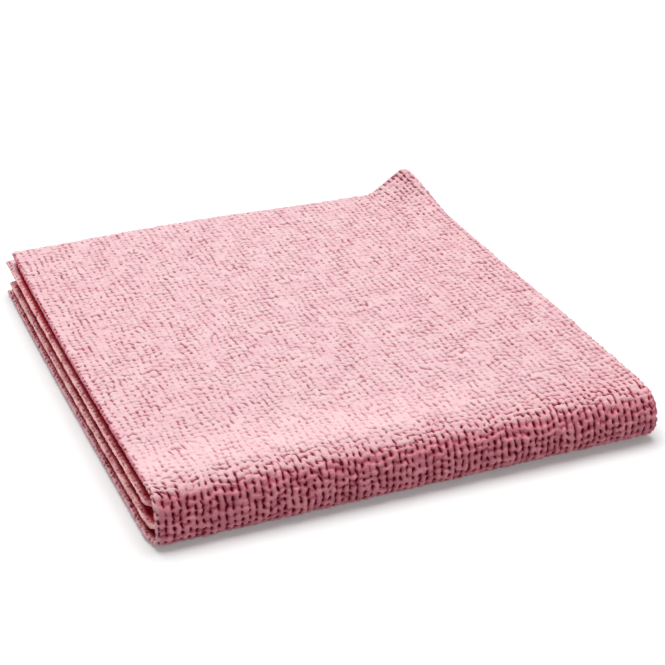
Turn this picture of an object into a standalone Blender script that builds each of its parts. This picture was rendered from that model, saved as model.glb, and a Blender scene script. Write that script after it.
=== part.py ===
"""A knitted cleaning cloth folded in four and lying flat, in metres, with +Z up.

The cloth is one sheet. It is folded in half along its right side and then in half again over its
front, so four layers lie on each other: raw edges show on the left and at the back, the first fold is
on the right and the second one in front. The origin is on the surface it lies on, under its middle.
"""

import math

import bmesh
import bpy
import numpy as np

MM = 0.001

# Sheet
SHEET = 3.0 * MM  # over the knots of the knit
PINK = (0.76, 0.40, 0.43, 1.0)
ROUGHNESS = 0.95

# Run of the two folds, before the cloth is moved to its origin
RIGHT_FOLD_X = 86.3 * MM  # outermost point of the fold on the right
FRONT_FOLD_Y = -95.8 * MM  # middle of the sheet in front
BACK_Y = 93.5 * MM

# Height of each layer's middle at the corners of the folded cloth, and where its cut edges lie, in mm
# layer: front left, front right, back left, back right, left edge in front, left edge at the back,
# back edge at the left, back edge at the right
LAYERS = {
    "top": (18.4, 16.6, 17.7, 17.0, -87.6, -85.0, 91.6, 91.8),
    "upper inner": (12.0, 11.3, 12.6, 11.6, -88.2, -86.8, 95.4, 92.0),
    "lower inner": (6.4, 6.2, 6.0, 6.2, -88.6, -87.0, 90.8, 93.2),
    "bottom": (1.5, 1.5, 1.5, 1.5, -89.0, -87.6, 93.4, 93.6),
}

# Front fold of each sheet, in mm at its left and right ends
# sheet: distance behind the front, depth of the bend, squareness, lean outwards at the bottom
FRONT_FOLDS = {
    "outer": ((0.0, 8.0, 3.2, 2.6), (-1.2, 10.0, 2.5, 1.8)),
    "inner": ((3.2, 3.4, 2.4, 4.8), (3.6, 3.6, 2.0, 0.8)),
}
INNER_EDGE_DRAWN_IN = 4.5 * MM  # the inner sheet's left edge, halfway round its bend
BOTTOM_EDGE_SPAN = 9.0 * MM  # how far behind the front the lower layer's edge is fully out

# Back right corner, where the first fold springs up
SPRING_START_X = 60.0 * MM
SPRING_RAMP = 9.0 * MM
SPRING_FRONT_Y = 54.0 * MM
SPRING_ANGLE = math.radians(35)
SPRING_GROWTH = 2.4
SPRING_PULL = 2.2 * MM  # how far the corner is pulled back inwards

# Soft swells and troughs of the upper pair of layers
# height in mm, share across, share along, spread across, spread along
SWELLS = (
    (1.2, 0.40, 1.00, 0.26, 0.40),
    (0.5, 1.00, 0.34, 0.20, 0.20),
    (0.5, 0.22, 0.16, 0.14, 0.10),
    (-0.5, 0.62, 0.52, 0.16, 0.22),
    (0.4, 0.80, 0.12, 0.12, 0.10),
    (-0.4, 0.14, 0.60, 0.12, 0.18),
)

# Grid, closest at the folds and at the raised corner
RUN_ROWS = 14
BEND_ROWS = 13
SHEET_COLUMNS = 12
NOSE_COLUMNS = 7


def blend(start, end, share):
    return start + (end - start) * share


def smooth(share):
    share = np.clip(share, 0, 1)
    return share * share * (3 - 2 * share)


def crowded_at_ends(count):
    """Shares from 0 to 1 that lie closest at both ends."""
    return (1 - np.cos(np.linspace(0, math.pi, count))) / 2


def crowded_at_end(count):
    """Shares from 0 to 1 that lie closest at 1."""
    return np.sin(np.linspace(0, math.pi / 2, count))


def even_steps(points, count):
    """The points of a line, moved along it to equal distances."""
    steps = np.linalg.norm(np.diff(points, axis=0), axis=1)
    travelled = np.concatenate([[0], np.cumsum(steps)])
    wanted = np.linspace(0, travelled[-1], count)
    return np.stack([np.interp(wanted, travelled, column) for column in points.T], axis=1)


def back_edge(layer, across):
    at_left, at_right = LAYERS[layer][6:]
    return blend(at_left, at_right, smooth(across)) * MM


def share_along(y):
    return (y - FRONT_FOLD_Y) / (BACK_Y - FRONT_FOLD_Y)


def layer_height(layer, across, y):
    """Height of a layer's middle at a share of the way across, from left to right, and a y."""
    front_left, front_right, back_left, back_right = LAYERS[layer][:4]
    along = share_along(y)
    height = blend(blend(front_left, front_right, across), blend(back_left, back_right, across), along)
    if layer in ("top", "upper inner"):
        for swell, at_across, at_along, spread_across, spread_along in SWELLS:
            distance = ((across - at_across) / spread_across) ** 2 + ((along - at_along) / spread_along) ** 2
            height = height + swell * np.exp(-distance)
    return height * MM


def left_edge(layer, y):
    in_front, at_back = LAYERS[layer][4:6]
    return blend(in_front, at_back, np.clip(share_along(y), 0, 1) ** 3) * MM


def nose_radius(upper, lower):
    """Half the distance between the middles of two layers where the first fold joins them."""
    return (layer_height(upper, 1.0, 0.0) - layer_height(lower, 1.0, 0.0)) / 2


def front_bend(upper, lower, sheet, across):
    """The (y, z) points of a sheet's bend over the front, from the upper layer to the lower one."""
    behind, depth, squareness, lean = blend(*np.array(FRONT_FOLDS[sheet]), across)
    start = FRONT_FOLD_Y + (behind + lean + depth) * MM
    high = layer_height(upper, across, start)
    low = layer_height(lower, across, start)
    angle = np.linspace(0, math.pi, 8 * BEND_ROWS)
    outward = np.sin(angle) ** (2 / squareness)
    upward = np.sign(np.cos(angle)) * np.abs(np.cos(angle)) ** (2 / squareness)
    y = start - depth * MM * outward - lean * MM * (1 - upward) / 2
    z = (high + low) / 2 + (high - low) / 2 * upward
    return even_steps(np.stack([y, z], axis=1), BEND_ROWS)


def sheet_line(upper, lower, sheet, across):
    """One line of a sheet, from its upper back edge over the front to its lower back edge."""
    bend = front_bend(upper, lower, sheet, across)
    run = crowded_at_ends(RUN_ROWS + 1)
    upper_y = blend(back_edge(upper, across), bend[0, 0], run[:-1])
    lower_y = blend(bend[-1, 0], back_edge(lower, across), run[1:])
    y = np.concatenate([upper_y, bend[:, 0], lower_y])
    z = np.concatenate(
        [layer_height(upper, across, upper_y), bend[:, 1], layer_height(lower, across, lower_y)]
    )
    below = np.arange(len(y)) >= RUN_ROWS + BEND_ROWS // 2
    passed = below * smooth((y - y.min()) / BOTTOM_EDGE_SPAN)
    edge = blend(left_edge(upper, y), left_edge(lower, y), passed)
    if sheet == "inner":
        round_bend = np.clip((np.arange(len(y)) - RUN_ROWS) / (BEND_ROWS - 1), 0, 1)
        edge += INNER_EDGE_DRAWN_IN * np.sin(math.pi * round_bend) ** 2
    right = RIGHT_FOLD_X - SHEET / 2 - nose_radius("top", "upper inner")
    return np.stack([blend(edge, right, across), y, z], axis=1)


def spring_up(points, rows):
    """Bends the upper pair of layers upwards at the back right corner, about lines along y."""
    raised = points.copy()
    upper = points[:, :rows]
    pair_height = (layer_height("top", 1.0, upper[..., 1]) + layer_height("upper inner", 1.0, upper[..., 1])) / 2
    growth = np.clip((upper[..., 1] - SPRING_FRONT_Y) / (BACK_Y - SPRING_FRONT_Y), 0, 1) ** SPRING_GROWTH
    angle = SPRING_ANGLE * growth
    run = np.maximum(upper[..., 0] - SPRING_START_X, 0)
    ramped = np.minimum(run, SPRING_RAMP)
    beyond = run - ramped
    tilt = angle * ramped / SPRING_RAMP
    above = upper[..., 2] - pair_height
    bend = np.maximum(angle, 1e-6) / SPRING_RAMP
    forward = np.sin(bend * ramped) / bend + beyond * np.cos(tilt)
    lift = (1 - np.cos(bend * ramped)) / bend + beyond * np.sin(tilt)
    pulled = SPRING_PULL * growth * smooth(run / (RIGHT_FOLD_X - SPRING_START_X))
    raised[:, :rows, 0] = np.minimum(upper[..., 0], SPRING_START_X) + forward - above * np.sin(tilt) - pulled
    raised[:, :rows, 2] = pair_height + lift + above * np.cos(tilt)
    return raised


def folded_sheet():
    """Grid of points on the middle of the sheet, its columns from one left edge round the first fold to the other."""
    shares = crowded_at_end(SHEET_COLUMNS)
    outer = [sheet_line("top", "bottom", "outer", share) for share in shares]
    inner = [sheet_line("upper inner", "lower inner", "inner", share) for share in shares[::-1]]
    middle = (outer[-1] + inner[0]) / 2
    reach = (outer[-1] - inner[0]) / 2
    radius = np.linalg.norm(reach, axis=1)
    nose = []
    for angle in np.linspace(0, math.pi, NOSE_COLUMNS + 2)[1:-1]:
        line = middle + reach * math.cos(angle)
        line[:, 0] += radius * math.sin(angle)
        nose.append(line)
    points = spring_up(np.array(outer + nose + inner), RUN_ROWS)
    left = points[..., 0].min()
    front = points[..., 1].min() - SHEET / 2
    right = points[..., 0].max() + SHEET / 2
    back = points[..., 1].max()
    return points - np.array([(left + right) / 2, (front + back) / 2, 0])


def fabric_material():
    material = bpy.data.materials.new("pink knit")
    material.use_nodes = True
    shader = material.node_tree.nodes["Principled BSDF"]
    shader.inputs["Base Color"].default_value = PINK
    shader.inputs["Roughness"].default_value = ROUGHNESS
    shader.inputs["Metallic"].default_value = 0.0
    return material


def build_cloth(collection):
    points = folded_sheet()
    columns, rows = points.shape[:2]
    mesh = bpy.data.meshes.new("cloth")
    surface = bmesh.new()
    grid = [[surface.verts.new(point) for point in line] for line in points]
    for column in range(columns - 1):
        for row in range(rows - 1):
            surface.faces.new(
                (grid[column][row], grid[column][row + 1], grid[column + 1][row + 1], grid[column + 1][row])
            )
    surface.to_mesh(mesh)
    surface.free()
    mesh.shade_smooth()
    cloth = bpy.data.objects.new("cloth", mesh)
    collection.objects.link(cloth)
    cloth.data.materials.append(fabric_material())
    body = cloth.modifiers.new("body", "SOLIDIFY")
    body.thickness = SHEET
    body.offset = 0
    body.use_even_offset = True
    return cloth


def main():
    for old in list(bpy.data.objects):
        bpy.data.objects.remove(old, do_unlink=True)
    collection = bpy.data.collections.new("folded cleaning cloth")
    bpy.context.scene.collection.children.link(collection)
    build_cloth(collection)


main()
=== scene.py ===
"""Folded knitted cleaning cloth: the relief and colours of its knit, a pale floor, soft light and the camera.

The cloth is one sheet on the folds of the solid. Its knit stands out from the middle of the sheet on both
sides, over a thin closed sheet inside it.
Lengths are in metres in the frame of the solid: +X to the first fold, -Y to the second one, +Z up.
"""

import math

import bpy
import numpy as np
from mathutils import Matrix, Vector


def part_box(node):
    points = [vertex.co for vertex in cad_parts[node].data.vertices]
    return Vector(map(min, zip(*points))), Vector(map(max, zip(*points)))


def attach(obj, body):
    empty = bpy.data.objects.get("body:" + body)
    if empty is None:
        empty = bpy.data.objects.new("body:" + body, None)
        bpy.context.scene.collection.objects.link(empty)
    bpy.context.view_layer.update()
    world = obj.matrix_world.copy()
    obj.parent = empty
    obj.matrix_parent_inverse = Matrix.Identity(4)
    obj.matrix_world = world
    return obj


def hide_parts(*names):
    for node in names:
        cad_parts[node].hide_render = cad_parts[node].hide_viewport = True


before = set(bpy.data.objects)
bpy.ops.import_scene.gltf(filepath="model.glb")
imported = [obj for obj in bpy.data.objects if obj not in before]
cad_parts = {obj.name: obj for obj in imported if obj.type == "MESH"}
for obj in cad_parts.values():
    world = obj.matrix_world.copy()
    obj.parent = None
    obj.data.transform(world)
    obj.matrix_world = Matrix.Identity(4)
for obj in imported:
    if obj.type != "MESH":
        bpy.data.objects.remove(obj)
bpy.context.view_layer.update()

MM = 0.001

# Folds of the sheet, as in the solid
SHEET = 3.0 * MM
RIGHT_FOLD_X = 86.3 * MM
FRONT_FOLD_Y = -95.8 * MM
BACK_Y = 93.5 * MM

# Height of each layer's middle at the corners of the folded cloth, and where its cut edges lie, in mm
# layer: front left, front right, back left, back right, left edge in front, left edge at the back,
# back edge at the left, back edge at the right
LAYERS = {
    "top": (18.4, 16.6, 17.7, 17.0, -87.6, -85.0, 91.6, 91.8),
    "upper inner": (12.0, 11.3, 12.6, 11.6, -88.2, -86.8, 95.4, 92.0),
    "lower inner": (6.4, 6.2, 6.0, 6.2, -88.6, -87.0, 90.8, 93.2),
    "bottom": (1.5, 1.5, 1.5, 1.5, -89.0, -87.6, 93.4, 93.6),
}

# Front fold of each sheet, in mm at its left and right ends
# sheet: distance behind the front, depth of the bend, squareness, lean outwards at the bottom
FRONT_FOLDS = {
    "outer": ((0.0, 8.0, 3.2, 2.6), (-1.2, 10.0, 2.5, 1.8)),
    "inner": ((3.2, 3.4, 2.4, 4.8), (3.6, 3.6, 2.0, 0.8)),
}
INNER_EDGE_DRAWN_IN = 4.5 * MM
BOTTOM_EDGE_SPAN = 9.0 * MM

# Back right corner, where the first fold springs up
SPRING_START_X = 60.0 * MM
SPRING_RAMP = 9.0 * MM
SPRING_FRONT_Y = 54.0 * MM
SPRING_ANGLE = math.radians(35)
SPRING_GROWTH = 2.4
SPRING_PULL = 2.2 * MM

# Soft swells and troughs of the upper pair of layers
# height in mm, share across, share along, spread across, spread along
SWELLS = (
    (1.2, 0.40, 1.00, 0.26, 0.40),
    (0.5, 1.00, 0.34, 0.20, 0.20),
    (0.5, 0.22, 0.16, 0.14, 0.10),
    (-0.5, 0.62, 0.52, 0.16, 0.22),
    (0.4, 0.80, 0.12, 0.12, 0.10),
    (-0.4, 0.14, 0.60, 0.12, 0.18),
)

# Knit: its columns of knots run from the upper back edge over the front to the lower back edge
SHEET_COLUMNS = 71
NOSE_COLUMNS = 4
ALL_COLUMNS = 2 * SHEET_COLUMNS + NOSE_COLUMNS
ROWS = 156
COLUMN_PITCH = 2.44 * MM
ROW_PITCH = 2.46 * MM
TOP_ROWS = 71  # rows on top, before the fold in front
FRONT_ROWS_END = 87  # where the rows below begin
EDGE_ROWS = 4  # how many rows and columns show between the layers at the cut edges
CORNER_COLUMNS = 13  # and under the raised corner
CORNER_ROWS = 18
UPPER_EDGE_SHOWN = 1.6 * MM  # of the layer under the top one, at the back left corner
UPPER_EDGE_ROWS = 9
SHOWN_AT_BACK = 3.0 * MM

# How far the knit opens before the folds, in rows or columns and as a share at the left and at the right end
OPENING_ROWS = 8.0
OPENED_BEFORE_FOLD = (0.05, 0.35)
RIGHT_FOLD_SHARE = 0.8
OPENED_TO_RIGHT = 0.16
OPENED_BETWEEN_LAYERS = 0.35  # share of the redness there

# Redness of the knit, a deeper rose with painted shade where the sheet turns down from the light: how steep
# the sheet is where it starts, at the left and at the right end
TURN_STARTS = (0.30, 0.14)
TURN_SPANS = (0.54, 0.70)
REDNESS_AT_CUT_EDGE = 0.4
REDNESS_AT_CORNER = 0.2
CORNER_PALE_ROWS = 4

# Pale crest before the fold in front, in painted light, its rows counted from the fold and its end from left
# to right
CREST_PAINTED_LIGHT = 0.30
CREST_ROWS = 12.0
CREST_FADES = (-1, 3)
CREST_RUNS_OUT = (5 / 12, 35 / 36)
CREST_LEFT_AT_TURN = 3  # how fast it ends where the sheet turns down

# Rosier stretches, which add to the redness and painted shade of the folds: the right end of the crest, its
# last rows, and the left and right sides of the top
RIGHT_END_ROSINESS = 0.17
RIGHT_END_ROWS = 8
RIGHT_END = (0.475, 0.975)
LAST_ROWS_ROSINESS = 0.24
LAST_ROWS = (-3, 1)
SIDE_ROSINESS = (0.05, 0.06)
LEFT_SIDE = (0.0, 0.35)
RIGHT_SIDE = (0.6, 1.0)

# Between the layers: where the painted shade in the gaps turns deep red, and how red with painted shade and
# how pale with painted light the rims are
GAP_SHADE_START = 1.05 * MM
GAP_SHADE_DEPTH = 0.6 * MM
GAP_DEEP_SHADE_START = 1.3 * GAP_SHADE_START
TOP_RIM_SHADE = 0.8
BOTTOM_RIM_SHADE = 0.4
INNER_RIM_SHADE = 0.13
BOTTOM_RIM_PAINTED_LIGHT = 0.15

# Grid that places on the sheet are read from
LINES_A_COLUMN = 2
STEPS_A_ROW = 6
RUN_ROWS = 90
BEND_ROWS = 121
EDGE_TRIM = 0.7 * MM  # from the cut edge of the solid to the middle line of the rounded rim
RIM = 1.0 * MM
RIM_THINNING = 0.78
RIM_TAPER = 4.5 * MM

# Relief over the middle of the sheet. Pairs are for knit that is pressed flat and knit that a fold opens
SEED = 11
BACKING = 0.5 * MM
KNOT_TOP = 1.42 * MM
CLEFT_DEPTH = (0.60 * MM, 0.50 * MM)
LUMP = (0.11 * MM, 0.14 * MM)
SHOULDER = (0.45 * MM, 0.68 * MM)
PLUMPNESS = (0.36 * MM, 0.80 * MM)
PATCH_STRENGTH = (1.3, 0.6)
WANDER_LEFT = (1.0, 0.5)
STAGGER = 0.22  # of the rows from one column to the next
COLUMN_JITTER = 0.05
ROW_JITTER = 0.11
SHARES_OF_WIDTH = (0.72, 1.3)
RIM_TURNS = np.radians((28, 52, 72, 88, 102))  # round a cut edge, from the face to past its middle
CLEFT_INTO_RIM = 0.45  # how far clefts and hollows draw a rim in
HOLLOW_INTO_RIM = 0.35
HOLLOW_RISE = 0.45  # how far up a knot its hollows lie, which sets how dark their painted shade is

# Sizes of the mesh
TOP_COLUMN_STEP = 0.27 * MM
TOP_ROW_STEP = 0.46 * MM
FRONT_ROW_STEP = 0.28 * MM
NOSE_STEP = 0.45 * MM
INSIDE_STEP = 0.7 * MM
UNDERSIDE_STEP = 1.1 * MM

# Grain of the yarn
FIBRE = 0.45 * MM
FLUFF = 1.3 * MM
FLUFF_HEIGHT = 0.34 * MM
SPECK = 1.6 * MM
WARM_PATCH = 6 * MM
LIGHT_PATCH = 7 * MM

# Colours of the yarn on the knots, with painted shade on their flanks and down between them
PRESSED = {
    "rose": (0.60, 0.39, 0.425, 1),
    "pale": (0.62, 0.46, 0.47, 1),
    "cream": (0.63, 0.485, 0.46, 1),
    "shaded_flank": (0.43, 0.22, 0.245, 1),
    "deep": (0.27, 0.115, 0.13, 1),
    "deep red": (0.50, 0.08, 0.13, 1),
}
# Painted light on the crest: paler knots, flanks and clefts
PAINTED_LIGHT_CREST = {"pale": (0.78, 0.545, 0.555, 1), "shaded_flank": (0.69, 0.43, 0.45, 1), "deep": (0.59, 0.32, 0.345, 1)}
# Round the folds: a deeper rose where the fold opens the knit, with painted shade where the sheet turns down
# from the light
SHADED_FOLD = {
    "rose": (0.52, 0.182, 0.228, 1),
    "pale": (0.635, 0.258, 0.30, 1),
    "shaded_flank": (0.40, 0.085, 0.125, 1),
    "deep": (0.13, 0.004, 0.012, 1),
}
# Painted light on the rims that show between the layers: pale knots and lighter clefts
RIM_PAINTED_LIGHT = {"rose": (0.66, 0.30, 0.315, 1), "salmon": (0.85, 0.54, 0.525, 1), "deep": (0.50, 0.13, 0.15, 1)}
# Deep red painted shade inside the gaps between the layers
GAP_SHADE_RED = (0.50, 0.004, 0.018, 1)

# Studio
FLOOR_SIZE = 12
FLOOR_BELOW = 0.05 * MM
WHITE = (1, 1, 1, 1)
SURROUNDING_LIGHT = 0.46
VIEW_GAMMA = 0.87

# Camera, found by fitting the outline of the folded cloth in the photo
PICTURE_WIDTH = 665  # pixels
FOCAL_LENGTH = 1790.9  # pixels
CAMERA_PLACE = (-0.20907, -0.52468, 0.30714)
CAMERA_PITCH = math.radians(27.598)
CAMERA_TURN = math.radians(22.622)


def blend(start, end, share):
    return start + (end - start) * share


def smooth(share):
    share = np.clip(share, 0, 1)
    return share * share * (3 - 2 * share)


def rising(value, start, end):
    """0 up to a start and 1 from an end on, with a soft step between."""
    return smooth((value - start) / (end - start))


def crowded_at_ends(count):
    """Shares from 0 to 1 that lie closest at both ends."""
    return (1 - np.cos(np.linspace(0, math.pi, count))) / 2


def even_steps(points, count, trim=0.0):
    """The points of a line, moved along it to equal distances, with a length cut off at both ends."""
    steps = np.linalg.norm(np.diff(points, axis=0), axis=1)
    travelled = np.concatenate([[0], np.cumsum(steps)])
    wanted = np.linspace(trim, travelled[-1] - trim, count)
    return np.stack([np.interp(wanted, travelled, column) for column in points.T], axis=1)


def back_edge(layer, across):
    at_left, at_right = LAYERS[layer][6:]
    return blend(at_left, at_right, smooth(across)) * MM


def share_along(y):
    return (y - FRONT_FOLD_Y) / (BACK_Y - FRONT_FOLD_Y)


def layer_height(layer, across, y):
    """Height of a layer's middle at a share of the way across, from left to right, and a y."""
    front_left, front_right, back_left, back_right = LAYERS[layer][:4]
    along = share_along(y)
    height = blend(blend(front_left, front_right, across), blend(back_left, back_right, across), along)
    if layer in ("top", "upper inner"):
        for swell, at_across, at_along, spread_across, spread_along in SWELLS:
            distance = ((across - at_across) / spread_across) ** 2 + ((along - at_along) / spread_along) ** 2
            height = height + swell * np.exp(-distance)
    return height * MM


def left_edge(layer, y):
    in_front, at_back = LAYERS[layer][4:6]
    return blend(in_front, at_back, np.clip(share_along(y), 0, 1) ** 3) * MM


def nose_radius(upper, lower):
    """Half the distance between the middles of two layers where the first fold joins them."""
    return (layer_height(upper, 1.0, 0.0) - layer_height(lower, 1.0, 0.0)) / 2


def front_bend(upper, lower, sheet, across):
    """The (y, z) points of a sheet's bend over the front, from the upper layer to the lower one."""
    behind, depth, squareness, lean = blend(*np.array(FRONT_FOLDS[sheet]), across)
    start = FRONT_FOLD_Y + (behind + lean + depth) * MM
    high = layer_height(upper, across, start)
    low = layer_height(lower, across, start)
    angle = np.linspace(0, math.pi, 6 * BEND_ROWS)
    outward = np.sin(angle) ** (2 / squareness)
    upward = np.sign(np.cos(angle)) * np.abs(np.cos(angle)) ** (2 / squareness)
    y = start - depth * MM * outward - lean * MM * (1 - upward) / 2
    z = (high + low) / 2 + (high - low) / 2 * upward
    return even_steps(np.stack([y, z], axis=1), BEND_ROWS)


def sheet_line(upper, lower, sheet, across):
    """One line of a sheet, from its upper back edge over the front to its lower back edge."""
    bend = front_bend(upper, lower, sheet, across)
    run = crowded_at_ends(RUN_ROWS + 1)
    upper_y = blend(back_edge(upper, across), bend[0, 0], run[:-1])
    lower_y = blend(bend[-1, 0], back_edge(lower, across), run[1:])
    y = np.concatenate([upper_y, bend[:, 0], lower_y])
    z = np.concatenate(
        [layer_height(upper, across, upper_y), bend[:, 1], layer_height(lower, across, lower_y)]
    )
    below = np.arange(len(y)) >= RUN_ROWS + BEND_ROWS // 2
    passed = below * smooth((y - y.min()) / BOTTOM_EDGE_SPAN)
    edge = blend(left_edge(upper, y), left_edge(lower, y), passed)
    if sheet == "inner":
        round_bend = np.clip((np.arange(len(y)) - RUN_ROWS) / (BEND_ROWS - 1), 0, 1)
        edge += INNER_EDGE_DRAWN_IN * np.sin(math.pi * round_bend) ** 2
    right = RIGHT_FOLD_X - SHEET / 2 - nose_radius("top", "upper inner")
    across_trimmed = blend(EDGE_TRIM / (right - edge), 1.0, across)
    return np.stack([blend(edge, right, across_trimmed), y, z], axis=1)


def spring_up(points, rows):
    """Bends the upper pair of layers upwards at the back right corner, about lines along y."""
    raised = points.copy()
    upper = points[:, :rows]
    pair_height = sum(layer_height(layer, 1.0, upper[..., 1]) for layer in ("top", "upper inner")) / 2
    growth = np.clip((upper[..., 1] - SPRING_FRONT_Y) / (BACK_Y - SPRING_FRONT_Y), 0, 1) ** SPRING_GROWTH
    angle = SPRING_ANGLE * growth
    run = np.maximum(upper[..., 0] - SPRING_START_X, 0)
    ramped = np.minimum(run, SPRING_RAMP)
    beyond = run - ramped
    tilt = angle * ramped / SPRING_RAMP
    above = upper[..., 2] - pair_height
    bend = np.maximum(angle, 1e-6) / SPRING_RAMP
    forward = np.sin(bend * ramped) / bend + beyond * np.cos(tilt)
    lift = (1 - np.cos(bend * ramped)) / bend + beyond * np.sin(tilt)
    pulled = SPRING_PULL * growth * smooth(run / (RIGHT_FOLD_X - SPRING_START_X))
    raised[:, :rows, 0] = np.minimum(upper[..., 0], SPRING_START_X) + forward - above * np.sin(tilt) - pulled
    raised[:, :rows, 2] = pair_height + lift + above * np.cos(tilt)
    return raised


class FoldedSheet:
    """The middle of the sheet, read at places given as columns and rows of knots.

    Column 0 is the left edge of the outer sheet and the last one that of the inner sheet. Row 0 is the upper
    back edge and the last one the lower back edge. The face side is out on top, in front and below.
    """

    def __init__(self):
        shares = np.linspace(0, 1, LINES_A_COLUMN * SHEET_COLUMNS + 1)
        outer = [sheet_line("top", "bottom", "outer", share) for share in shares]
        inner = [sheet_line("upper inner", "lower inner", "inner", share) for share in shares[::-1]]
        middle = (outer[-1] + inner[0]) / 2
        reach = (outer[-1] - inner[0]) / 2
        radius = np.linalg.norm(reach, axis=1)
        nose = []
        for angle in np.linspace(0, math.pi, LINES_A_COLUMN * NOSE_COLUMNS + 1)[1:-1]:
            line = middle + reach * math.cos(angle)
            line[:, 0] += radius * math.sin(angle)
            nose.append(line)
        lines = spring_up(np.array(outer + nose + inner), RUN_ROWS)
        low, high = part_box("cloth")
        lines[..., 0] += high[0] - SHEET / 2 - lines[..., 0].max()
        lines[..., 1] += low[1] + SHEET / 2 - lines[..., 1].min()
        self.middle = np.array([even_steps(line, ROWS * STEPS_A_ROW + 1, EDGE_TRIM) for line in lines])
        face = np.cross(np.gradient(self.middle, axis=1), np.gradient(self.middle, axis=0))
        self.face = face / np.linalg.norm(face, axis=2, keepdims=True)

    def read(self, values, column, row):
        """Values of the grid at places, carried on straight beyond its edges."""
        line = column * LINES_A_COLUMN
        step = row * STEPS_A_ROW
        low_line = np.clip(np.floor(line).astype(int), 0, ALL_COLUMNS * LINES_A_COLUMN - 1)
        low_step = np.clip(np.floor(step).astype(int), 0, ROWS * STEPS_A_ROW - 1)
        between_lines = (line - low_line)[..., None]
        between_steps = (step - low_step)[..., None]
        nearer = blend(values[low_line, low_step], values[low_line, low_step + 1], between_steps)
        further = blend(values[low_line + 1, low_step], values[low_line + 1, low_step + 1], between_steps)
        return blend(nearer, further, between_lines)

    def from_cut_edge(self, column, row, shown_at_left=0.0, shown_at_back=0.0):
        """Distance to the nearest cut edge, less the strips that the layer above leaves bare."""
        sideways = np.minimum(column, ALL_COLUMNS - column) * COLUMN_PITCH - shown_at_left
        return np.minimum(sideways, np.minimum(row, ROWS - row) * ROW_PITCH - shown_at_back)

    def loosened(self, column, row, side):
        """How far the knots stand apart: 0 where pressed flat, 1 round the folds, below 0 on the crest."""
        to_right = column / SHEET_COLUMNS
        nearing_front = rising(row, TOP_ROWS - OPENING_ROWS, TOP_ROWS) * (row < ROWS / 2)
        nearing_right = rising(column, SHEET_COLUMNS - OPENING_ROWS, SHEET_COLUMNS)
        nearing = np.maximum(nearing_front, RIGHT_FOLD_SHARE * nearing_right)
        nearing = nearing * blend(*OPENED_BEFORE_FOLD, to_right)
        nearing = np.maximum(nearing, OPENED_TO_RIGHT * to_right**2 * (row < TOP_ROWS))
        between_layers = (side < 0) | (column > SHEET_COLUMNS + NOSE_COLUMNS)
        opened = self.redness_and_painted_light(column, row, side) * np.where(between_layers, OPENED_BETWEEN_LAYERS, 1)
        opened = np.where(opened < 0, opened + nearing, np.maximum(opened, nearing))
        return np.clip(opened, -CREST_PAINTED_LIGHT, 1)

    def redness_and_painted_light(self, column, row, side):
        """Below 0 for the painted light on the pale crest, 0 on the pale top, 1 for the deeper rose and
        painted shade round the folds, up to 2 for the painted shade between the layers.
        """
        is_outer = column <= SHEET_COLUMNS + NOSE_COLUMNS
        outside = self.redness_and_painted_light_outside(column, row)
        return np.where((side > 0) & is_outer, outside, self.painted_shade_between(column, row, side))

    def redness_and_painted_light_outside(self, column, row):
        to_right = np.clip(column / SHEET_COLUMNS, 0, 1)
        is_upper = row < ROWS / 2
        from_fold = row - TOP_ROWS
        # Painted shade over a deeper rose: the further the sheet turns down from the overhead light, the
        # redder and darker it is
        face = self.read(self.face, column, row)
        steepness = np.hypot(np.maximum(face[..., 0], 0), np.maximum(-face[..., 1], 0))
        turned = smooth((steepness - blend(*TURN_STARTS, to_right)) / blend(*TURN_SPANS, to_right))
        turned = turned * blend(REDNESS_AT_CUT_EDGE, 1, smooth(self.from_cut_edge(column, row) / MM))
        turned = turned * blend(REDNESS_AT_CORNER, 1, rising(row, CORNER_PALE_ROWS, CORNER_ROWS))

        # Painted light that makes the crest before the front fold paler
        crest = rising(from_fold, -CREST_ROWS, 0) * is_upper
        crest_left = (1 - rising(to_right, *CREST_RUNS_OUT)) * (1 - rising(from_fold, *CREST_FADES))
        turned = turned - CREST_PAINTED_LIGHT * crest * crest_left * (1 - smooth(CREST_LEFT_AT_TURN * turned))

        right_end = rising(from_fold, -RIGHT_END_ROWS, 0) * is_upper * rising(to_right, *RIGHT_END)
        last_rows = rising(from_fold, *LAST_ROWS) * is_upper
        rosy = np.maximum(RIGHT_END_ROSINESS * right_end, LAST_ROWS_ROSINESS * last_rows)
        turned = np.where(turned > 0, np.maximum(turned, rosy), turned + rosy)
        at_left, at_right = SIDE_ROSINESS
        sides = at_left * (1 - rising(to_right, *LEFT_SIDE)) + at_right * rising(to_right, *RIGHT_SIDE)
        turned = turned + sides * (1 - rising(from_fold, -CREST_ROWS, 0))

        # Painted shade: the top layer's rim beyond its cut edge, turned down from the light, is made red
        over_edge = smooth(-self.from_cut_edge(column, row) / RIM) * (row < TOP_ROWS)
        return np.where(over_edge > 0, np.maximum(turned, over_edge), turned)

    def painted_shade_between(self, column, row, side):
        is_outer = column <= SHEET_COLUMNS + NOSE_COLUMNS
        # Painted shade between the layers: a share at the rims, growing to deep red further inside
        at_outer_rim = np.where(row < ROWS / 2, TOP_RIM_SHADE, BOTTOM_RIM_SHADE)
        at_rim = np.where(is_outer, at_outer_rim, INNER_RIM_SHADE * smooth(row / UPPER_EDGE_ROWS))
        hidden = self.hidden(column, row, side)
        inside = blend(at_rim, 1, smooth((hidden - GAP_SHADE_START) / GAP_SHADE_DEPTH))
        return inside + smooth((hidden - GAP_DEEP_SHADE_START) / GAP_SHADE_DEPTH)

    def hidden(self, column, row, side):
        """How far places between the layers lie inside from the strip that shows."""
        is_outer = column <= SHEET_COLUMNS + NOSE_COLUMNS
        strip = UPPER_EDGE_SHOWN * np.maximum(1 - row / UPPER_EDGE_ROWS, 0)
        shown = np.where(is_outer | (side > 0), 0, strip)
        return self.from_cut_edge(column, row, shown, SHOWN_AT_BACK) + RIM

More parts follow.
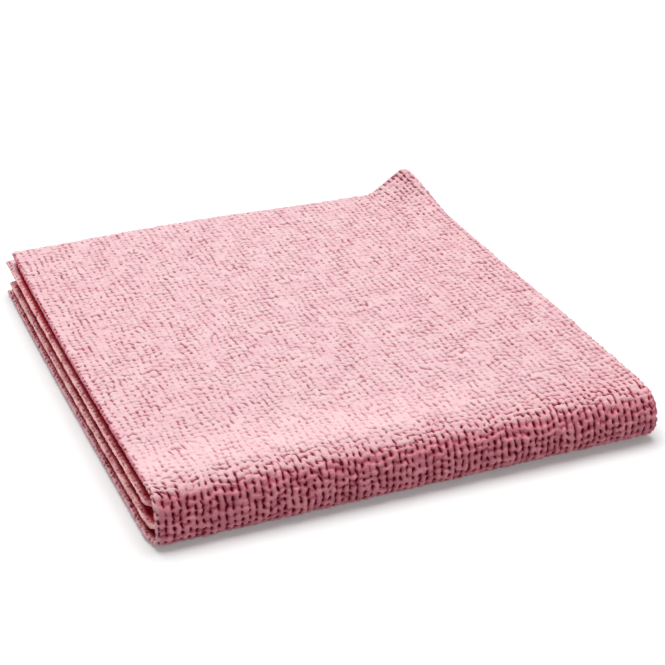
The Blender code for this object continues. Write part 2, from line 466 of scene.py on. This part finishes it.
    def rim(self, column, row, side):
        """Painted light on the rims that show between the layers: 1 on the pale rims, less on the lowest one,
        0 elsewhere.
        """
        is_outer = column <= SHEET_COLUMNS + NOSE_COLUMNS
        on_outer = np.where((side > 0) | (row < ROWS / 2), 0, BOTTOM_RIM_PAINTED_LIGHT)
        strength = np.where(is_outer, on_outer, smooth(row / UPPER_EDGE_ROWS))
        return strength * (1 - smooth((self.hidden(column, row, side) - GAP_SHADE_START) / GAP_SHADE_DEPTH))

    def points(self, column, row, height):
        """Points at a height over the middle, on the face side where it is positive."""
        return self.read(self.middle, column, row) + self.read(self.face, column, row) * height[..., None]


class Wander:
    """A smooth random shift, much the same for neighbouring places, so that rows of knots aren't straight."""

    def __init__(self, random, reach, length, waves=10):
        heading = random.uniform(0, 2 * math.pi, waves)
        turns = 2 * math.pi / (length * random.uniform(0.6, 1.7, waves))
        self.turns = np.stack([turns * np.cos(heading), turns * np.sin(heading)])
        self.start = random.uniform(0, 2 * math.pi, waves)
        self.reach = reach / math.sqrt(waves / 2)

    def at(self, column, row):
        across = column[..., None] * COLUMN_PITCH
        along = row[..., None] * ROW_PITCH
        return np.sin(across * self.turns[0] + along * self.turns[1] + self.start).sum(axis=-1) * self.reach


class Clefts:
    """Short clefts of one kind between the knots, one at each crossing of a column and a row.

    Widths are half widths. The first of a pair is for knit that is pressed flat, the second for knit that a
    fold opens.
    """

    SPARE = 3  # rows and columns of clefts beyond the edges

    def __init__(
        self, random, stagger, shift, half_length, width, depth, depth_spread, lean, lean_spread,
        sharpness=(1, 1), zigzag=0.0,
    ):
        shape = (ALL_COLUMNS + 2 * self.SPARE, ROWS + 2 * self.SPARE)
        column, row = np.indices(shape)
        self.column = column - self.SPARE + shift + random.normal(0, COLUMN_JITTER, shape)
        staggered = blend(stagger[:-1], stagger[1:], shift)
        self.row = row - self.SPARE + random.normal(0, ROW_JITTER, shape) + staggered[:, None]
        self.half_length = random.uniform(*half_length, shape)
        self.width = width
        self.share_of_width = random.uniform(*SHARES_OF_WIDTH, shape)
        self.depth = depth
        self.sharpness = sharpness
        self.share_of_depth = random.normal(1, depth_spread, shape)
        self.lean = lean
        self.own_lean = random.normal(0, lean_spread, shape) + zigzag * (-1.0) ** row

    def at(self, column, row, opened, patches):
        """(how much of the knit stays, how plump it is beside the clefts) at places, both from 0 to 1."""
        stays = np.ones(column.shape)
        plump = np.ones(column.shape)
        width = blend(*self.width, opened)
        depth = blend(*self.depth, opened)
        lean = blend(*self.lean, opened)
        shoulder = blend(*SHOULDER, opened)
        sharpness = blend(*self.sharpness, np.maximum(opened, 0))
        last_column, last_row = np.array(self.column.shape) - 1
        for near_column in (-1, 0, 1):
            for near_row in (-1, 0, 1):
                at_column = np.rint(column).astype(int) + near_column + self.SPARE
                at_row = np.rint(row).astype(int) + near_row + self.SPARE
                index = np.clip(at_column, 0, last_column), np.clip(at_row, 0, last_row)
                across = (column - self.column[index]) * COLUMN_PITCH
                along = (row - self.row[index]) * ROW_PITCH
                turn = lean + self.own_lean[index]
                cos = np.cos(turn)
                sin = np.sin(turn)
                beside = across * cos + along * sin
                beyond = np.maximum(np.abs(along * cos - across * sin) - self.half_length[index], 0)
                spread = width * self.share_of_width[index]
                distance = beside**2 + beyond**2
                strength = np.clip(depth * (self.share_of_depth[index] + patches), 0, 1)
                stays *= 1 - strength * sharpness * np.exp(-distance / spread**2)
                plump *= 1 - strength * np.exp(-distance / shoulder**2)
        return stays, plump


class Relief:
    """The knit over the sheet: soft knots that run together, with pits and clefts between them."""

    def __init__(self, random):
        self.wander_across = Wander(random, 0.30 * MM, 15 * MM)
        self.wander_along = Wander(random, 0.60 * MM, 15 * MM)
        self.patches = Wander(random, 0.17, 12 * MM)
        stagger = random.normal(0, STAGGER, ALL_COLUMNS + 2 * Clefts.SPARE + 1)
        pits = Clefts(
            random, stagger, shift=0.0, half_length=(0.0, 0.3 * MM), width=(0.24 * MM, 0.34 * MM),
            depth=(0.62, 0.95), depth_spread=0.35, lean=(0, 0), lean_spread=0.6,
        )
        between_columns = Clefts(
            random, stagger, shift=0.0, half_length=(0.3 * MM, 1.0 * MM), width=(0.15 * MM, 0.19 * MM),
            depth=(0.62, 0.95), depth_spread=0.45, lean=(-0.34, -0.04), lean_spread=0.22, zigzag=0.12,
        )
        between_knots = Clefts(
            random, stagger, shift=0.5, half_length=(0.3 * MM, 0.8 * MM), width=(0.14 * MM, 0.15 * MM),
            depth=(0.5, 0.58), depth_spread=0.5, lean=(1.57, 1.57), lean_spread=0.25, sharpness=(0.85, 0.2),
        )
        self.kinds = (pits, between_columns, between_knots)
        self.lumps = random.normal(0, 1, (ALL_COLUMNS + 3, ROWS + 3))

    def at(self, column, row, opened):
        """(how much of the knit stays, how plump it is, how far a knot stands out) at places."""
        patches = self.patches.at(column, row) * blend(*PATCH_STRENGTH, opened)
        wander = blend(*WANDER_LEFT, opened)
        column, row = (
            column + self.wander_across.at(column, row) * wander / COLUMN_PITCH,
            row + self.wander_along.at(column, row) * wander / ROW_PITCH,
        )
        stays, plump = np.prod([kind.at(column, row, opened, patches) for kind in self.kinds], axis=0)
        lump = np.zeros(column.shape)
        for near_column in (0, 1):
            for near_row in (0, 1):
                at_column = np.floor(column - 0.5).astype(int) + near_column
                at_row = np.floor(row - 0.5).astype(int) + near_row
                share = smooth(1 - np.abs(column - at_column - 0.5)) * smooth(1 - np.abs(row - at_row - 0.5))
                lump += share * self.lumps[
                    np.clip(at_column + 1, 0, ALL_COLUMNS + 2), np.clip(at_row + 1, 0, ROWS + 2)
                ]
        return stays, plump, lump


def places(start, end, size, pitch, cut_at_start=False, cut_at_end=False):
    """Places from start to end, a size apart, and the share of the height that a cut edge leaves there."""
    place = np.linspace(start, end, max(round((end - start) * pitch / size), 1) + 1)
    height = np.ones(len(place))
    beyond = RIM / pitch * np.sin(RIM_TURNS)
    if cut_at_start:
        place = np.concatenate([start - beyond[::-1], place])
        height = np.concatenate([np.cos(RIM_TURNS)[::-1], height])
    if cut_at_end:
        place = np.concatenate([place, end + beyond])
        height = np.concatenate([height, np.cos(RIM_TURNS)])
    return place, height


def columns_between(start, end, size):
    return places(start, end, size, COLUMN_PITCH, start == 0, end == ALL_COLUMNS)


def rows_between(start, end, size):
    return places(start, end, size, ROW_PITCH, start == 0, end == ROWS)


def fill_mesh(name, points, quads, uv, rise, tint, redness_and_painted_light, rim):
    """A mesh object whose points carry their rise up a knot, tint, redness with painted light and shade, and
    the painted light that makes a rim pale.
    """
    mesh = bpy.data.meshes.new(name)
    mesh.from_pydata(points, [], quads)
    for label, values in (("rise", rise), ("tint", tint), ("redness_and_painted_light", redness_and_painted_light), ("rim", rim)):
        mesh.attributes.new(label, "FLOAT", "POINT").data.foreach_set("value", values.astype(np.float32))
    corners = np.empty(len(mesh.loops), np.int32)
    mesh.loops.foreach_get("vertex_index", corners)
    mesh.uv_layers.new(name="OFBake").data.foreach_set("uv", uv[corners].astype(np.float32).ravel())
    mesh.shade_smooth()
    piece = bpy.data.objects.new(name, mesh)
    bpy.context.scene.collection.objects.link(piece)
    return piece


def grid_quads(columns, rows):
    number = np.arange(columns * rows).reshape(columns, rows)
    corners = [number[:-1, :-1], number[:-1, 1:], number[1:, 1:], number[1:, :-1]]
    return np.stack(corners, axis=2).reshape(-1, 4)


def knit_piece(name, sheet, relief, patches):
    """One piece of the knit, from patches of columns, rows and a side: 1 is the face side, -1 the back."""
    parts = []
    first = 0
    for number, ((column, column_height), (row, row_height), side) in enumerate(patches):
        column, row = np.meshgrid(column, row, indexing="ij")
        opened = sheet.loosened(column, row, side)
        stays, plump, lump = relief.at(column, row, opened)
        cleft = 1 - stays
        outside = column - np.clip(column, 0, ALL_COLUMNS)
        above = row - np.clip(row, 0, ROWS)
        rounding = column_height[:, None] * row_height
        thinning = blend(RIM_THINNING, 1, smooth(sheet.from_cut_edge(column, row) / RIM_TAPER))
        drawn_down = blend(*CLEFT_DEPTH, opened) * cleft + blend(*PLUMPNESS, opened) * (1 - plump)
        height = (KNOT_TOP + blend(*LUMP, opened) * lump - drawn_down) * rounding * thinning
        drawn_in = CLEFT_INTO_RIM * cleft + HOLLOW_INTO_RIM * (1 - plump)
        points = sheet.points(column - drawn_in * outside, row - drawn_in * above, side * height)
        points[..., 2] = np.maximum(points[..., 2], 0)
        quads = grid_quads(*column.shape)
        u, v = np.meshgrid(*[np.linspace(0.01, 0.99, count) for count in column.shape], indexing="ij")
        uv = np.stack([(number + u) / len(patches), v], axis=2)
        # The rise, low in the clefts and hollows, sets how dark their painted shade is
        parts.append(
            (
                points.reshape(-1, 3),
                first + (quads if side > 0 else quads[:, ::-1]),
                uv.reshape(-1, 2),
                (stays * blend(HOLLOW_RISE, 1, plump)).ravel(),
                lump.ravel(),
                sheet.redness_and_painted_light(column, row, side).ravel(),
                sheet.rim(column, row, side).ravel(),
            )
        )
        first += column.size
    return fill_mesh(name, *[np.concatenate(part) for part in zip(*parts)])


def backing_sheet(sheet):
    """The closed thin sheet inside the knit, its two sides laid side by side in the texture."""
    column, row = np.meshgrid(np.arange(ALL_COLUMNS + 1.0), np.arange(ROWS + 1.0), indexing="ij")
    columns, rows = column.shape
    half = np.full(column.shape, BACKING / 2)
    points = np.concatenate([sheet.points(column, row, half * side).reshape(-1, 3) for side in (1, -1)])
    number = np.arange(columns * rows).reshape(columns, rows)
    near = grid_quads(columns, rows)
    border = np.concatenate([number[:-1, 0], number[-1, :-1], number[:0:-1, -1], number[0, :0:-1]])
    following = np.roll(border, -1)
    far = columns * rows
    rim = np.stack([border, following, following + far, border + far], axis=1)
    quads = np.concatenate([near, near[:, ::-1] + far, rim])
    u, v = np.meshgrid(np.linspace(0.01, 0.49, columns), np.linspace(0.01, 0.95, rows), indexing="ij")
    first = np.stack([u.ravel(), v.ravel()], axis=1)
    uv = np.concatenate([first, first + [0.5, 0]])
    # With no rise, the backing sheet takes the painted shade colour of the clefts
    nothing = np.zeros(len(points))
    redness_and_painted_light = np.concatenate([sheet.redness_and_painted_light(column, row, side).ravel() for side in (1, -1)])
    return fill_mesh("backing_sheet", points, quads, uv, nothing, nothing, redness_and_painted_light, nothing)


class Value:
    """A number that varies over the surface. Arithmetic on it adds Math nodes."""

    def __init__(self, finish, socket):
        self.finish = finish
        self.socket = socket

    def math(self, operation, *inputs):
        return self.finish.node("ShaderNodeMath", {"operation": operation}, dict(enumerate(inputs)))

    def __add__(self, other):
        return self.math("ADD", self, other)

    __radd__ = __add__

    def __sub__(self, other):
        return self.math("SUBTRACT", self, other)

    def __rsub__(self, other):
        return self.math("SUBTRACT", other, self)

    def __mul__(self, other):
        return self.math("MULTIPLY", self, other)

    __rmul__ = __mul__

    def clamped(self):
        return self.finish.node("ShaderNodeClamp", {}, {"Value": self})

    def smooth_between(self, low, high):
        """0 below low, 1 above high, with a soft step between."""
        settings = {"interpolation_type": "SMOOTHSTEP"}
        inputs = {"Value": self, "From Min": low, "From Max": high}
        return self.finish.node("ShaderNodeMapRange", settings, inputs)


class Finish:
    """A material under one Principled shader, built from nodes."""

    def __init__(self, name, constants):
        self.material = bpy.data.materials.new(name)
        self.material.use_nodes = True
        self.tree = self.material.node_tree
        self.shader = self.tree.nodes["Principled BSDF"]
        for socket, value in constants.items():
            self.shader.inputs[socket].default_value = value

    def node(self, kind, settings, inputs, output=0):
        """A node of a kind, with its settings made first, then the values or links of its sockets."""
        made = self.tree.nodes.new(kind)
        for setting, value in settings.items():
            setattr(made, setting, value)
        for socket, value in inputs.items():
            if isinstance(value, Value):
                self.tree.links.new(value.socket, made.inputs[socket])
            else:
                made.inputs[socket].default_value = value
        return Value(self, made.outputs[output])

    def attribute(self, name):
        return self.node("ShaderNodeAttribute", {"attribute_name": name}, {}, "Fac")

    def place(self):
        return self.node("ShaderNodeTexCoord", {}, {}, "Object")

    def noise(self, size, detail=2.0, shift=0.0):
        """Noise from 0 to 1 whose patches are about a size across."""
        moved = self.node("ShaderNodeVectorMath", {"operation": "ADD"}, {0: self.place(), 1: [shift] * 3})
        inputs = {"Vector": moved, "Scale": 1 / size, "Detail": detail}
        return self.node("ShaderNodeTexNoise", {}, inputs, "Fac")

    def mix(self, share, first, second):
        """A colour between two others."""
        return self.node("ShaderNodeMix", {"data_type": "RGBA"}, {0: share, 6: first, 7: second}, 2)

    def feed(self, socket, value):
        self.tree.links.new(value.socket, self.shader.inputs[socket])


def knit_finish():
    """Pink looped yarn: pale on the knots, with painted shade deep red down between them, painted light on
    the crest and rims, a deeper rose and painted shade round the folds, painted shade in the gaps between the
    layers, all in soft warm and cool patches.
    """
    finish = Finish(
        "pink knit",
        {
            "Roughness": 0.95,
            "Specular IOR Level": 0.1,
            "Sheen Weight": 0.12,
            "Sheen Roughness": 0.4,
            "Sheen Tint": (1.0, 0.72, 0.76, 1),
        },
    )
    # Painted light that makes the rims between the layers pale, with shallower clefts
    rim = finish.attribute("rim")
    rise = finish.attribute("rise") + rim * 0.24
    tint = finish.attribute("tint")
    # Painted light on the crest, a deeper rose with painted shade round the folds, painted shade between the
    # layers
    redness_and_painted_light = finish.attribute("redness_and_painted_light")
    fold_shade = redness_and_painted_light.clamped()
    early_fold_shade = (redness_and_painted_light * 4).clamped()
    crest = (redness_and_painted_light * -1.6).clamped()
    gap_shade = (redness_and_painted_light - 1).clamped()
    fibre = finish.noise(FIBRE, detail=4.0)
    patches = finish.noise(LIGHT_PATCH)
    warmth = finish.noise(WARM_PATCH, detail=1.0, shift=0.4).smooth_between(0.5, 0.75)
    specks = finish.noise(SPECK, detail=1.0, shift=0.7).smooth_between(0.5, 0.62)

    light = (patches * 0.7 + 0.15 + tint * 0.07 + (fibre - 0.5) * 0.7).smooth_between(0.25, 0.75)
    pressed_knot = finish.mix(light, PRESSED["rose"], PRESSED["pale"])
    pressed_knot = finish.mix(warmth * 0.35, pressed_knot, PRESSED["cream"])
    opened_light = (fibre + tint * 0.14).smooth_between(0.32, 0.68)
    rim_light = (fibre + tint * 0.12).smooth_between(0.3, 0.66)
    # Paler knots on the crest, in painted light
    knot = finish.mix(crest * 0.8, pressed_knot, PAINTED_LIGHT_CREST["pale"])
    # Deeper rose and painted shade round the folds
    knot = finish.mix(fold_shade * 0.9, knot, finish.mix(opened_light, SHADED_FOLD["rose"], SHADED_FOLD["pale"]))
    knot = finish.mix(rim, knot, finish.mix(rim_light, RIM_PAINTED_LIGHT["rose"], RIM_PAINTED_LIGHT["salmon"]))

    shaded_ground = finish.mix(crest, finish.mix(specks, PRESSED["deep"], PRESSED["deep red"]), PAINTED_LIGHT_CREST["deep"])
    shaded_ground = finish.mix(early_fold_shade, shaded_ground, SHADED_FOLD["deep"])
    shaded_ground = finish.mix(rim * 0.7, shaded_ground, RIM_PAINTED_LIGHT["deep"])
    shaded_flank = finish.mix(crest, PRESSED["shaded_flank"], PAINTED_LIGHT_CREST["shaded_flank"])
    shaded_flank = finish.mix(early_fold_shade, shaded_flank, SHADED_FOLD["shaded_flank"])
    # Painted shade: darkest down in the clefts, darker on the knot flanks than on their tops
    colour = finish.mix(rise.smooth_between(0.12, 0.48), shaded_ground, shaded_flank)
    colour = finish.mix(rise.smooth_between(0.32, 0.82), colour, knot)
    # Deep red painted shade in the gaps between the layers
    colour = finish.mix(gap_shade * 0.92, colour, GAP_SHADE_RED)
    finish.feed("Base Color", colour)

    fluff = fibre + finish.noise(FLUFF, shift=0.2)
    bump = finish.node("ShaderNodeBump", {}, {"Strength": 1.0, "Distance": FLUFF_HEIGHT, "Height": fluff})
    finish.feed("Normal", bump)
    return finish.material


def build_cloth():
    sheet = FoldedSheet()
    relief = Relief(np.random.default_rng(SEED))
    backing = backing_sheet(sheet)
    nose_end = SHEET_COLUMNS + NOSE_COLUMNS
    splits = (0, SHEET_COLUMNS // 3, 2 * SHEET_COLUMNS // 3, SHEET_COLUMNS)
    across = [columns_between(start, end, TOP_COLUMN_STEP) for start, end in zip(splits, splits[1:])]
    all_across = columns_between(0, SHEET_COLUMNS, UNDERSIDE_STEP)
    top = rows_between(0, TOP_ROWS, TOP_ROW_STEP)
    front = rows_between(TOP_ROWS, FRONT_ROWS_END, FRONT_ROW_STEP)
    below = rows_between(FRONT_ROWS_END, ROWS, UNDERSIDE_STEP)
    nose = columns_between(SHEET_COLUMNS, nose_end, NOSE_STEP)
    all_rows = rows_between(0, ROWS, INSIDE_STEP)
    edge_left = columns_between(0, EDGE_ROWS, INSIDE_STEP)
    edge_inner = columns_between(ALL_COLUMNS - EDGE_ROWS, ALL_COLUMNS, INSIDE_STEP)
    upper_back = rows_between(0, EDGE_ROWS, INSIDE_STEP)
    lower_back = rows_between(ROWS - EDGE_ROWS, ROWS, INSIDE_STEP)
    between = columns_between(EDGE_ROWS, ALL_COLUMNS - EDGE_ROWS, INSIDE_STEP)
    inner = columns_between(nose_end, ALL_COLUMNS - EDGE_ROWS, INSIDE_STEP)
    corner_rows = rows_between(EDGE_ROWS, CORNER_ROWS, INSIDE_STEP)
    corner_inner = columns_between(nose_end, nose_end + CORNER_COLUMNS, INSIDE_STEP)
    corner_both = columns_between(SHEET_COLUMNS - CORNER_COLUMNS, nose_end + CORNER_COLUMNS, INSIDE_STEP)
    layout = {
        "top_left": [(across[0], top, 1)],
        "top_middle": [(across[1], top, 1)],
        "top_right": [(across[2], top, 1)],
        "front_fold": [(part, front, 1) for part in across],
        "right_fold": [(nose, top, 1), (nose, front, 1), (nose, below, 1)],
        "underside": [(all_across, below, 1)],
        "inner_face": [
            (edge_inner, all_rows, 1),
            (inner, upper_back, 1),
            (inner, lower_back, 1),
            (corner_inner, corner_rows, 1),
        ],
        "inner_back": [
            (edge_left, all_rows, -1),
            (edge_inner, all_rows, -1),
            (between, upper_back, -1),
            (between, lower_back, -1),
            (corner_both, corner_rows, -1),
        ],
    }
    pieces = [knit_piece(name, sheet, relief, patches) for name, patches in layout.items()]
    finish = knit_finish()
    for piece in [backing, *pieces]:
        piece.data.materials.append(finish)
        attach(piece, "root")
    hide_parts("cloth")


def pale_floor():
    """A grey floor with a faint glow, so that it is just white and still takes a soft shadow."""
    bpy.ops.mesh.primitive_plane_add(size=FLOOR_SIZE, location=(0, 0, -FLOOR_BELOW))
    floor = bpy.context.object
    floor.name = "floor"
    finish = Finish(
        "pale floor",
        {
            "Base Color": (0.52, 0.52, 0.52, 1),
            "Roughness": 0.9,
            "Specular IOR Level": 0.0,
            "Emission Color": WHITE,
            "Emission Strength": 0.21,
        },
    )
    floor.data.materials.append(finish.material)


def soft_light(name, size, power, place, target):
    light = bpy.data.lights.new(name, "AREA")
    light.shape = "DISK"
    light.size = size
    light.energy = power
    lamp = bpy.data.objects.new(name, light)
    bpy.context.scene.collection.objects.link(lamp)
    lamp.location = place
    away = np.array(place) - np.array(target)
    lamp.rotation_euler = (
        math.atan2(math.hypot(away[0], away[1]), away[2]),
        0,
        math.atan2(away[0], -away[1]),
    )


def light_the_scene():
    world = bpy.data.worlds.new("studio")
    bpy.context.scene.world = world
    world.use_nodes = True
    background = world.node_tree.nodes["Background"]
    background.inputs["Color"].default_value = WHITE
    background.inputs["Strength"].default_value = SURROUNDING_LIGHT
    soft_light("overhead", size=2.0, power=71, place=(-0.03, 0.30, 2.15), target=(0, 0, 0))
    bpy.context.scene.view_settings.view_transform = "Standard"
    bpy.context.scene.view_settings.gamma = VIEW_GAMMA


def place_camera():
    lens = bpy.data.cameras.new("camera")
    lens.sensor_width = 36
    lens.lens = FOCAL_LENGTH / PICTURE_WIDTH * lens.sensor_width
    lens.clip_start = 0.01
    camera = bpy.data.objects.new("camera", lens)
    bpy.context.scene.collection.objects.link(camera)
    camera.location = CAMERA_PLACE
    camera.rotation_euler = (math.pi / 2 - CAMERA_PITCH, 0, -CAMERA_TURN)
    bpy.context.scene.camera = camera


place_camera()
pale_floor()
build_cloth()
light_the_scene()
